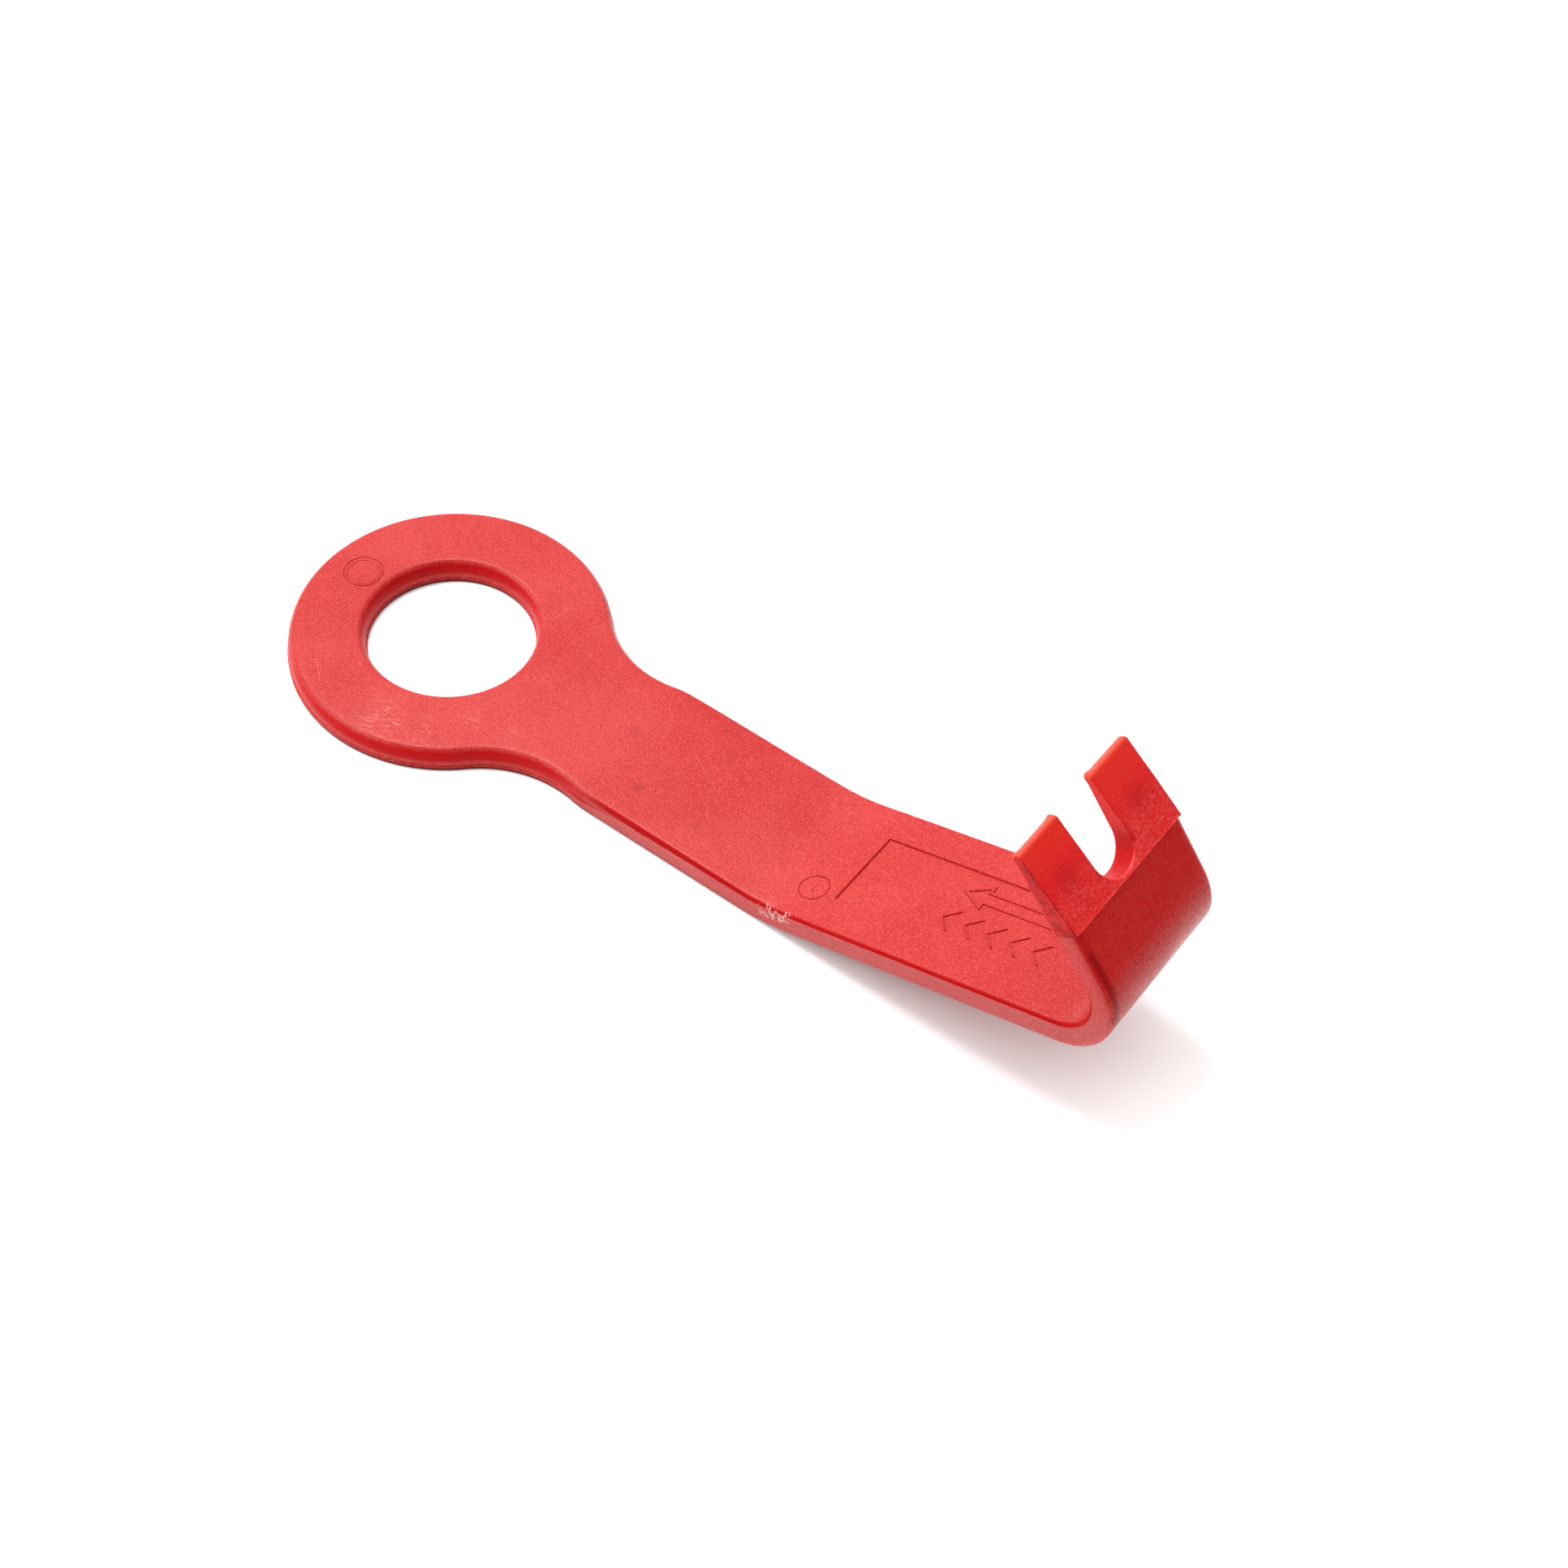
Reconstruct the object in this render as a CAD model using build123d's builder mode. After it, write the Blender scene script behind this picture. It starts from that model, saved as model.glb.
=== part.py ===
from build123d import *
from math import cos, radians, sin, sqrt, tan
import os

os.makedirs("parts", exist_ok=True)

# A one-hand pulling tool, moulded in one piece: a finger ring, a flat handle, a raised
# arm and a hook that turns back over the arm and ends in a thin two-pronged fork.
# The moulding is divided where its form changes, and each zone is a solid of its own
# that meets its neighbours face to face.
# The origin is on the finger hole's axis at the flat underside. +X runs from the ring
# along the handle to the hook, +Y across the tool, and +Z up.

# Driving dimensions, in millimetres and degrees
thickness = 4.5
strap_width = 30.0
upper_edge_radius = 0.8
lower_edge_radius = 0.4

ring_diameter = 59.2
finger_hole_diameter = 30.4
ring_rounding = 1.8

neck_radius = 22.0
neck_inset = 0.6
neck_blend_radius = 20.0
neck_lead = 3.0

handle_length = 81.0
elbow_turn = 17.2
elbow_radius = 30.0

arm_length = 70.4
panel_start = 11.0
panel_heel_gap = 1.5
panel_width = 16.0
panel_depth = 0.25
panel_corner_cut = 2.5
mark_margin = 4.0
mark_offset = 3.4
mark_stroke = 0.6
mark_height = 0.2
arrow_length = 24.0
arrow_head_length = 5.0
arrow_head_width = 6.0
arrow_shaft_width = 3.0
chevron_count = 5
chevron_spacing = 4.5
chevron_depth = 2.4
chevron_width = 4.8

heel_turn = 109.8
heel_radius = 8.0
hook_edge_radius = 1.6

shank_length = 21.8
fork_length = 15.5
fork_tip_thickness = 1.4
fork_tip_rounding = 0.8
slot_width = 9.0
slot_web = 0.6

half_width = strap_width / 2
ring_radius = ring_diameter / 2
hole_radius = finger_hole_diameter / 2
hook_heading = elbow_turn + heel_turn


def heading(angle):
    """The direction in the XZ plane at this angle above +X."""
    return Vector(cos(radians(angle)), 0, sin(radians(angle)))


def across(point, angle):
    """The plane across the strap at this point, with its y axis to the inner side."""
    return Plane(origin=point, x_dir=(0, 1, 0), z_dir=heading(angle))


def along(point, angle):
    """The plane of the strap's inner side, with its x axis along the strap."""
    return Plane(origin=point, x_dir=heading(angle), z_dir=heading(angle + 90))


def bend_axis(point, angle, radius):
    """The axis that a bend of this inner radius turns about, from this point on."""
    return Axis(point + heading(angle + 90) * radius, (0, -1, 0))


def strap_section(plane, outer_radius):
    """The strap's section, with the middle of its inner side at the plane's origin."""
    with BuildSketch(plane) as section:
        with Locations((0, -thickness / 2)):
            Rectangle(strap_width, thickness)
        fillet(section.vertices().group_by(Axis.Y)[-1], upper_edge_radius)
        fillet(section.vertices().group_by(Axis.Y)[0], outer_radius)
    return section.sketch


# The strap's middle line follows the handle's and arm's upper side and the hook's
# inner side. Each bend starts and ends at its tangent's length from its corner.
elbow_tangent = elbow_radius * tan(radians(elbow_turn / 2))
heel_tangent = heel_radius * tan(radians(heel_turn / 2))
elbow_corner = Vector(handle_length, 0, thickness)
elbow_start = elbow_corner - heading(0) * elbow_tangent
arm_start = elbow_corner + heading(elbow_turn) * elbow_tangent
heel_corner = elbow_corner + heading(elbow_turn) * arm_length
heel_start = heel_corner - heading(elbow_turn) * heel_tangent
shank_start = heel_corner + heading(hook_heading) * heel_tangent
fork_start = heel_corner + heading(hook_heading) * shank_length
fork_end = fork_start + heading(hook_heading) * fork_length

# Each neck arc touches the ring from outside, narrows the neck to its waist, which is
# set in a little from the strap's side, and runs out to the strap's full width. There a
# gentler arc blends it into the strap's side, and a short straight lead ends the zone.
waist_y = half_width - neck_inset
neck_centre_y = waist_y + neck_radius
neck_centre_x = sqrt((ring_radius + neck_radius) ** 2 - neck_centre_y**2)
ring_share = ring_radius / (ring_radius + neck_radius)
touch_x = neck_centre_x * ring_share
touch_y = neck_centre_y * ring_share
neck_end_x = neck_centre_x + sqrt(neck_radius**2 - (neck_centre_y - half_width) ** 2)
handle_start_x = neck_end_x + neck_lead
handle_start = Vector(handle_start_x, 0, thickness)


# The ring and neck: a flat plate with well rounded upper rims. The finger hole's wall
# stays straight down to the underside.
with BuildPart() as grip_ring:
    with BuildSketch() as plan:
        with BuildLine():
            ThreePointArc((touch_x, touch_y), (-ring_radius, 0), (touch_x, -touch_y))
            for side in (-1, 1):
                waist = (neck_centre_x, side * waist_y)
                neck_end = (neck_end_x, side * half_width)
                ThreePointArc((touch_x, side * touch_y), waist, neck_end)
                Line(neck_end, (handle_start_x, side * half_width))
            Line((handle_start_x, -half_width), (handle_start_x, half_width))
        make_face()
        neck_ends = plan.vertices().group_by(Axis.X)[-2]
        fillet(neck_ends, neck_blend_radius)
        Circle(hole_radius, mode=Mode.SUBTRACT)
    extrude(amount=thickness)
    upper_rims = grip_ring.edges().group_by(Axis.Z)[-1]
    end_edge = upper_rims.sort_by(Axis.X)[-1]
    fillet([edge for edge in upper_rims if edge != end_edge], ring_rounding)
grip_ring.part.label = "grip_ring"
export_step(grip_ring.part, "parts/grip_ring.step")

# The flat handle
with BuildPart() as handle:
    handle_run = (elbow_start - handle_start).length
    extrude(strap_section(across(handle_start, 0), lower_edge_radius), amount=handle_run)
handle.part.label = "handle"
export_step(handle.part, "parts/handle.step")

# The gentle bend that lifts the arm off the surface that the tool lies on
with BuildPart() as elbow:
    revolve(
        strap_section(across(elbow_start, 0), lower_edge_radius),
        axis=bend_axis(elbow_start, 0, elbow_radius),
        revolution_arc=elbow_turn,
    )
elbow.part.label = "elbow"
export_step(elbow.part, "parts/elbow.step")

# The straight arm, with a shallow sunk panel. Raised in the panel are an arrow, drawn
# as a thin line, and a row of chevrons. Both point back to the ring, the way to pull.
panel_end = arm_length - heel_tangent - panel_heel_gap
panel_length = panel_end - panel_start
panel_centre = elbow_corner + heading(elbow_turn) * (panel_start + panel_length / 2)
panel_floor = panel_centre - heading(elbow_turn + 90) * panel_depth
arrow_x = panel_length / 2 - mark_margin - arrow_length
chevrons_x = [arrow_x + chevron_spacing * place for place in range(chevron_count)]
with BuildPart() as arm:
    arm_run = (heel_start - arm_start).length
    arm_profile = strap_section(across(arm_start, elbow_turn), lower_edge_radius)
    extrude(arm_profile, amount=arm_run)
    with BuildSketch(along(panel_centre, elbow_turn)) as panel:
        Rectangle(panel_length, panel_width)
        heel_end_corners = panel.vertices().group_by(Axis.X)[-1]
        chamfer(heel_end_corners.sort_by(Axis.Y)[0], panel_corner_cut)
    extrude(amount=-panel_depth, mode=Mode.SUBTRACT)
    with BuildSketch(along(panel_floor, elbow_turn)) as marks:
        with BuildLine(Location((arrow_x, mark_offset))):
            Polyline(
                (0, 0),
                (arrow_head_length, arrow_head_width / 2),
                (arrow_head_length, arrow_shaft_width / 2),
                (arrow_length, arrow_shaft_width / 2),
                (arrow_length, -arrow_shaft_width / 2),
                (arrow_head_length, -arrow_shaft_width / 2),
                (arrow_head_length, -arrow_head_width / 2),
                close=True,
            )
        make_face()
        offset(amount=-mark_stroke, mode=Mode.SUBTRACT)
        with Locations([(x, -mark_offset) for x in chevrons_x]):
            Polygon(
                (0, 0),
                (chevron_depth, chevron_width / 2),
                (chevron_depth + mark_stroke, chevron_width / 2),
                (mark_stroke, 0),
                (chevron_depth + mark_stroke, -chevron_width / 2),
                (chevron_depth, -chevron_width / 2),
                align=None,
            )
    extrude(amount=mark_height)
arm.part.label = "arm"
export_step(arm.part, "parts/arm.step")

# The tight bend that turns the hook back over the arm
with BuildPart() as heel:
    revolve(
        strap_section(across(heel_start, elbow_turn), hook_edge_radius),
        axis=bend_axis(heel_start, elbow_turn, heel_radius),
        revolution_arc=heel_turn,
    )
heel.part.label = "heel"
export_step(heel.part, "parts/heel.step")

# The straight shank of the hook
with BuildPart() as shank:
    shank_run = (fork_start - shank_start).length
    shank_profile = strap_section(across(shank_start, hook_heading), hook_edge_radius)
    extrude(shank_profile, amount=shank_run)
shank.part.label = "shank"
export_step(shank.part, "parts/shank.step")

# The fork: two flat prongs that carry on from the shank and thin down to their tips.
# The slot between them ends in a full round just beyond the shank.
outward = heading(hook_heading - 90)
with BuildPart() as fork:
    with BuildSketch(Plane.XZ) as side_view:
        with BuildLine():
            wedge = [
                fork_start,
                fork_start + outward * thickness,
                fork_end + outward * fork_tip_thickness,
                fork_end,
            ]
            Polyline([(point.X, point.Z) for point in wedge], close=True)
        make_face()
    extrude(amount=half_width, both=True)
    slot_root = fork_start + heading(hook_heading) * (slot_web + slot_width / 2)
    with BuildSketch(along(slot_root, hook_heading)):
        Circle(slot_width / 2)
        with Locations((fork_length / 2, 0)):
            Rectangle(fork_length, slot_width)
    extrude(amount=thickness, both=True, mode=Mode.SUBTRACT)
    thickness_axis = Axis((0, 0, 0), outward)
    tip_corners = fork.edges().filter_by(thickness_axis)
    tip_corners = tip_corners.group_by(Axis((0, 0, 0), heading(hook_heading)))[-1]
    fillet(tip_corners, fork_tip_rounding)
fork.part.label = "fork"
export_step(fork.part, "parts/fork.step")
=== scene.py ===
import math

import bpy
import numpy as np
from mathutils import Matrix, Vector, noise
from mathutils.geometry import delaunay_2d_cdt

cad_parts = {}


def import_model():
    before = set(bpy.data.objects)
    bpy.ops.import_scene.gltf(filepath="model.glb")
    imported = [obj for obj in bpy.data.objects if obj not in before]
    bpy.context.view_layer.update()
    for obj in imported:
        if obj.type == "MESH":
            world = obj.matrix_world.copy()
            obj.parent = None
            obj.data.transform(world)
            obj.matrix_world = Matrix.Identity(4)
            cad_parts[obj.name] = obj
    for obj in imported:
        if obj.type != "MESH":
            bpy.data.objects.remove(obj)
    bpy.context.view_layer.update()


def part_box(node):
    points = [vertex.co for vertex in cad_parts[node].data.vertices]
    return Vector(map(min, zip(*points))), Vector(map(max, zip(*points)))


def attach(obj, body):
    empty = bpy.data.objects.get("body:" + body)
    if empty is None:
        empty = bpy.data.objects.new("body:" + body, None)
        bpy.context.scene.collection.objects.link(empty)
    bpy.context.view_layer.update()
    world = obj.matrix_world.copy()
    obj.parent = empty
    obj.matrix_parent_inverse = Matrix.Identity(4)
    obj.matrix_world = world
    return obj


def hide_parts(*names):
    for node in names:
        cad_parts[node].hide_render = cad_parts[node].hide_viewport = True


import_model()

# The tool is one plastic moulding. Its visible surface is made as one flat plate, laid
# out by the lengths of its upper side, then bent at the elbow and the heel and divided
# into the CAD model's zones. Lengths are in millimetres until the meshes are written.
MM = 0.001

# Sizes that the CAD model gives
THICKNESS = 4.5
HALF_WIDTH = 15.0
RING_RADIUS = 29.6
HOLE_RADIUS = 15.2
NECK_RADIUS = 22.0
NECK_INSET = 0.6
NECK_BLEND = 20.0
HANDLE_LENGTH = 81.0
ELBOW_TURN = math.radians(17.2)
ELBOW_RADIUS = 30.0
ARM_LENGTH = 70.4
HEEL_TURN = math.radians(109.8)
HEEL_RADIUS = 8.0
SHANK_LENGTH = 21.8
FORK_LENGTH = 15.5
FORK_TIP = 1.4
FORK_CORNER = 0.8
SLOT_HALF = 4.5
SLOT_WEB = 0.6
PANEL_START = 11.0
PANEL_HEEL_GAP = 1.5
PANEL_HALF = 8.0
PANEL_DEPTH = 0.25
PANEL_CUT = 2.5
ARROW_MARGIN = 4.0

# Lengths along the upper side, from the ring's centre
ELBOW_TANGENT = ELBOW_RADIUS * math.tan(ELBOW_TURN / 2)
HEEL_TANGENT = HEEL_RADIUS * math.tan(HEEL_TURN / 2)
S_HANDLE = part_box("handle")[0].x / MM
S_ELBOW = HANDLE_LENGTH - ELBOW_TANGENT
S_ARM = S_ELBOW + ELBOW_RADIUS * ELBOW_TURN
S_HEEL = S_ARM + ARM_LENGTH - ELBOW_TANGENT - HEEL_TANGENT
S_SHANK = S_HEEL + HEEL_RADIUS * HEEL_TURN
S_FORK = S_SHANK + SHANK_LENGTH - HEEL_TANGENT
S_TIP = S_FORK + FORK_LENGTH
ZONES = [
    ("grip_ring", -RING_RADIUS - 1, S_HANDLE),
    ("handle", S_HANDLE, S_ELBOW),
    ("elbow", S_ELBOW, S_ARM),
    ("arm", S_ARM, S_HEEL),
    ("heel", S_HEEL, S_SHANK),
    ("shank", S_SHANK, S_FORK),
    ("fork", S_FORK, S_TIP + 1),
]
BORDERS = [start for _, start, _ in ZONES[1:]]


def ease(value, start, end):
    """0 before start, 1 after end, and smooth between them."""
    t = np.clip((np.asarray(value, float) - start) / (end - start), 0, 1)
    return t * t * (3 - 2 * t)


def noise_at(points, scale, seed):
    """Smooth noise from about -1 to 1 at each point, with features of this size. Each
    seed reads another part of the same noise."""
    offset = Vector((seed * 17.3, seed * 5.1, seed * 9.7))
    return np.array([noise.noise(Vector(p) / scale + offset) for p in points])


# ---- The bends ----

# The first run starts well before the ring, and the last ends past the fork's tip
BEFORE_RING = -100.0
BEYOND_TIP = 10


def bend(s, y, h):
    """Carries the flat plate's points to their place: s along, y across, h up."""
    s, y, h = (np.asarray(a, float) for a in (s, y, h))
    runs = [
        (S_ELBOW, None),
        (S_ARM, ELBOW_RADIUS),
        (S_HEEL, None),
        (S_SHANK, HEEL_RADIUS),
        (S_TIP + BEYOND_TIP, None),
    ]
    x = np.zeros_like(s)
    z = np.zeros_like(s)
    angle = np.zeros_like(s)
    run_start, heading, px, pz = BEFORE_RING, 0.0, BEFORE_RING, THICKNESS
    for run_end, radius in runs:
        here = (s >= run_start) & (s <= run_end)
        length = s[here] - run_start
        if radius is None:
            x[here] = px + length * math.cos(heading)
            z[here] = pz + length * math.sin(heading)
            angle[here] = heading
            px += (run_end - run_start) * math.cos(heading)
            pz += (run_end - run_start) * math.sin(heading)
        else:
            turned = heading + length / radius
            x[here] = px + radius * (np.sin(turned) - math.sin(heading))
            z[here] = pz + radius * (math.cos(heading) - np.cos(turned))
            angle[here] = turned
            new_heading = heading + (run_end - run_start) / radius
            px += radius * (math.sin(new_heading) - math.sin(heading))
            pz += radius * (math.cos(heading) - math.cos(new_heading))
            heading = new_heading
        run_start = run_end
    depth = h - THICKNESS
    return np.stack([x - depth * np.sin(angle), y, z + depth * np.cos(angle)], 1)


# ---- The flat plate's outline ----

def straight(start, end, step):
    """Points along a line, from its start to just before its end."""
    start, end = np.array(start, float), np.array(end, float)
    count = max(1, round(float(np.linalg.norm(end - start)) / step))
    return start + (end - start) * (np.arange(count) / count)[:, None]


def arc(centre, radius, start, end, step):
    """Points round an arc, from one angle to just before the other."""
    count = max(3, round(abs(end - start) * radius / step))
    angles = start + (end - start) * np.arange(count) / count
    return np.array(centre) + radius * np.stack([np.cos(angles), np.sin(angles)], 1)


def strap_stations():
    """Lengths where the strap's sides have vertices, closer together in the bends."""
    runs = [
        (S_HANDLE, S_ELBOW, 0.9),
        (S_ELBOW, S_ARM, 0.6),
        (S_ARM, S_HEEL, 0.8),
        (S_HEEL, S_SHANK, 0.3),
        (S_SHANK, S_FORK - WITNESS_RISE, 0.4),
        (S_FORK - WITNESS_RISE, S_FORK + 2 * WITNESS_RISE, WITNESS_RISE / 2),
        (S_FORK + 2 * WITNESS_RISE, S_FORK + SLOT_WEB, 0.12),
        (S_FORK + SLOT_WEB, S_TIP - FORK_CORNER, 0.22),
    ]
    pieces = [straight((a, 0), (b, 0), step)[:, 0] for a, b, step in runs]
    return np.concatenate(pieces + [[S_TIP - FORK_CORNER]])


def outline():
    """The plate's edge, counterclockwise: from the slot's root round the far prong, along
    the far side, round the ring and back along the near side."""
    slot_x = S_FORK + SLOT_WEB + SLOT_HALF
    corner_x = S_TIP - FORK_CORNER
    quarter = math.pi / 2
    neck_y = HALF_WIDTH - NECK_INSET + NECK_RADIUS
    neck_x = math.sqrt((RING_RADIUS + NECK_RADIUS) ** 2 - neck_y**2)
    blend_y = HALF_WIDTH - NECK_BLEND
    blend_x = neck_x + math.sqrt((NECK_RADIUS + NECK_BLEND) ** 2 - (neck_y - blend_y) ** 2)
    blend_end = math.atan2(neck_y - blend_y, neck_x - blend_x)
    neck_touch = math.atan2(neck_y, neck_x)
    side = strap_stations()[::-1]
    far_half = np.concatenate([
        arc((slot_x, 0), SLOT_HALF, math.pi, quarter, 0.3),
        straight((slot_x, SLOT_HALF), (corner_x, SLOT_HALF), 0.4),
        arc((corner_x, SLOT_HALF + FORK_CORNER), FORK_CORNER, -quarter, 0, 0.12),
        straight((S_TIP, SLOT_HALF + FORK_CORNER), (S_TIP, HALF_WIDTH - FORK_CORNER), 0.3),
        arc((corner_x, HALF_WIDTH - FORK_CORNER), FORK_CORNER, 0, quarter, 0.12),
        np.stack([side, np.full(len(side), HALF_WIDTH)], 1),
        straight((S_HANDLE, HALF_WIDTH), (blend_x, HALF_WIDTH), 0.35)[1:],
        arc((blend_x, blend_y), NECK_BLEND, quarter, blend_end, 0.4),
        arc((neck_x, neck_y), NECK_RADIUS, blend_end - math.pi, neck_touch - math.pi, 0.6),
        arc((0, 0), RING_RADIUS, neck_touch, math.pi, 0.6),
        [(-RING_RADIUS, 0)],
    ])
    near_half = far_half[1:-1][::-1] * (1, -1)
    return np.concatenate([far_half, near_half])


def finger_hole():
    """The hole's edge, clockwise, so that the plastic is on its left as well."""
    return arc((0, 0), HOLE_RADIUS, 0, -2 * math.pi, 0.5)


def outward(loop):
    """Unit normals that point out of the plastic, for a loop with it on the left."""
    ahead = np.roll(loop, -1, 0) - loop
    ahead /= np.linalg.norm(ahead, axis=1)[:, None]
    tangent = ahead + np.roll(ahead, 1, 0)
    tangent /= np.linalg.norm(tangent, axis=1)[:, None]
    return np.stack([tangent[:, 1], -tangent[:, 0]], 1)


# ---- The plate's rim ----

# The mould's parting line runs low round the ring, climbs at the neck and follows the
# strap's upper edge. The surface above it is set in a little and rounds over to the top.
WITNESS_RISE = 0.1
WITNESS_HEIGHT = 0.14
WITNESS_BEAD = 0.1
RIM_ARC_ROWS = 11
WALL_ROWS = 3
BAND_ROWS = 7
LOWER_ARC_ROWS = 6

# The rim's shape; three values are those on the ring, on the strap and on the fork
UPPER_WIDTH = (1.5, 0.9, 0.44)
UPPER_HEIGHT = (2.6, 0.9, 0.5)
LOWER_RADIUS = (0.15, 0.3, 0.38)
PARTING_INSET = (0.24, 0.18, 0.04)
SHANK_LOWER_EXTRA = 1.4
PARTING_ON_RING = 0.72
PARTING_ON_HANDLE = 3.45
PARTING_ARM_RISE = 0.35
PARTING_BELOW_TOP = 0.4
PARTING_LEDGE = 0.03
PARTING_GROOVE = 0.07
ROUNDING_ROOM = 0.12


def outer_face(s):
    """Height of the plate's lower side: 0, and rising on the fork as it thins. The fork
    stands a little proud of the shank, with a fine bead along the witness line."""
    s = np.asarray(s, float)
    taper = (THICKNESS - FORK_TIP) / FORK_LENGTH * np.clip(s - S_FORK, 0, None)
    proud = WITNESS_HEIGHT * ease(s, S_FORK, S_FORK + WITNESS_RISE / 2)
    proud = proud * (1 - ease(s, S_TIP - 9, S_TIP - 1))
    bead = np.exp(-((s - S_FORK - WITNESS_RISE / 2) / (WITNESS_RISE / 2)) ** 2)
    bead *= ease(s, S_FORK - 0.01, S_FORK + WITNESS_RISE / 2)
    return taper - proud - WITNESS_BEAD * bead


def rim_values(loop):
    """Width and height of the upper rounding, lower radius, parting inset and parting
    height at each point."""
    s = loop[:, 0]
    on_fork = ease(s, S_FORK - 0.05, S_FORK + 0.05)
    on_strap = ease(s, 30, 46)

    def varied(values, extra=0.0):
        on_ring, along_strap, at_fork = values
        value = on_ring + (along_strap - on_ring) * on_strap + extra
        return value + (at_fork - value) * on_fork

    width = varied(UPPER_WIDTH)
    height = varied(UPPER_HEIGHT)
    lower = varied(LOWER_RADIUS, SHANK_LOWER_EXTRA * ease(s, S_HEEL + 4, S_SHANK))
    inset = varied(PARTING_INSET)
    parting = PARTING_ON_RING + (PARTING_ON_HANDLE - PARTING_ON_RING) * ease(s, 30, 56)
    parting += PARTING_ARM_RISE * ease(s, S_ELBOW, S_ARM + 8)
    thickness = THICKNESS - outer_face(s)
    parting = np.minimum(parting, thickness - PARTING_BELOW_TOP)
    return width, height, lower, inset, parting


def rim_profile(loop):
    """Inset and height of each rim row at each point of the loop, from top to bottom."""
    width, height, lower, inset, parting = rim_values(loop)
    thickness = THICKNESS - outer_face(loop[:, 0])
    room = np.clip((thickness - parting - ROUNDING_ROOM) / height, 0.05, 1)
    sweep = np.arccos(1 - room)
    rows = []
    for k in range(RIM_ARC_ROWS):
        angle = sweep * k / (RIM_ARC_ROWS - 1)
        drop = height * (1 - np.cos(angle))
        rows.append((inset + width * (np.sin(sweep) - np.sin(angle)), thickness - drop))
    wall_inset, wall_top = rows[-1]
    for k in range(1, WALL_ROWS + 1):
        share = k / WALL_ROWS
        rows.append((wall_inset, wall_top + (parting + PARTING_LEDGE - wall_top) * share))
    rows.append((np.full_like(parting, PARTING_LEDGE), parting))
    band_top = parting - PARTING_GROOVE
    for k in range(BAND_ROWS):
        share = k / (BAND_ROWS - 1)
        rows.append((np.zeros_like(parting), band_top + (lower - band_top) * share))
    for k in range(1, LOWER_ARC_ROWS + 1):
        angle = math.pi / 2 * k / LOWER_ARC_ROWS
        rows.append((lower * (1 - math.cos(angle)), lower * (1 - math.sin(angle))))
    insets = np.stack([row[0] for row in rows], 1)
    heights = np.stack([row[1] for row in rows], 1)
    return insets, heights


def rim_rows(loop):
    """The rim's vertices (s, y, h), by point and by row."""
    insets, heights = rim_profile(loop)
    normals = outward(loop)
    flat = loop[:, None, :] - normals[:, None, :] * insets[:, :, None]
    base = outer_face(flat[:, :, 0])
    here = THICKNESS - outer_face(loop[:, 0])[:, None]
    share = heights / here
    return np.dstack([flat, base + share * (THICKNESS - base)])


# ---- Sunk and raised marks on the upper side ----

WALL_DRAFT = 0.1
STROKE = 0.6
MARK_HEIGHT = 0.2
MARK_OFFSET = 3.4
ARROW_LENGTH = 24.0
ARROW_HEAD = 5.0
ARROW_WIDTH = 6.0
ARROW_SHAFT = 3.0
CHEVRONS = 5
CHEVRON_SPACING = 4.5
CHEVRON_DEPTH = 2.4
CHEVRON_WIDTH = 4.8
MARK_DRAFT = 0.07
GROOVE_DEPTH = 0.14
GROOVE_HALF = 0.14
ELBOW_MARK = (6.2, -7.4)
ELBOW_MARK_RADIUS = 2.7
BAR_WIDTH = 0.4
BAR_LENGTH = 2.2
BAR_HEIGHT = 0.1
RING_MARK = (-21.25, 0.3)
RING_MARK_RADIUS = 3.55
RING_MARK_INNER = 2.95
RING_MARK_SHIFT = (0.15, -0.1)
PANEL_STEP = 0.7
MARK_STEP = 0.6


def shrink(polygon, distance):
    """A counterclockwise polygon with every side moved inward by this distance."""
    polygon = np.array(polygon, float)
    ahead = np.roll(polygon, -1, 0) - polygon
    ahead /= np.linalg.norm(ahead, axis=1)[:, None]
    behind = np.roll(ahead, 1, 0)
    inward_a = np.stack([-behind[:, 1], behind[:, 0]], 1)
    inward_b = np.stack([-ahead[:, 1], ahead[:, 0]], 1)
    middle = inward_a + inward_b
    middle /= (middle * inward_b).sum(1)[:, None]
    return polygon + middle * distance


def divided(polygon, step):
    """The polygon with its sides divided into steps of about this length."""
    polygon = np.array(polygon, float)
    return np.concatenate([
        straight(a, b, step) for a, b in zip(polygon, np.roll(polygon, -1, 0))
    ])


def raised(polygon, base, height):
    """Loops for a raised shape: its foot and its slightly smaller top."""
    top = shrink(polygon, MARK_DRAFT)
    return [(divided(polygon, MARK_STEP), base), (divided(top, MARK_STEP), base + height)]


def groove(centre, radius, depth, width):
    """Loops for a fine circular groove."""
    loops = []
    for share, level in ((1, 0), (0.3, -depth), (-0.3, -depth), (-1, 0)):
        loops.append((arc(centre, radius + share * width, 0, 2 * math.pi, 0.35), level))
    return loops


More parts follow.
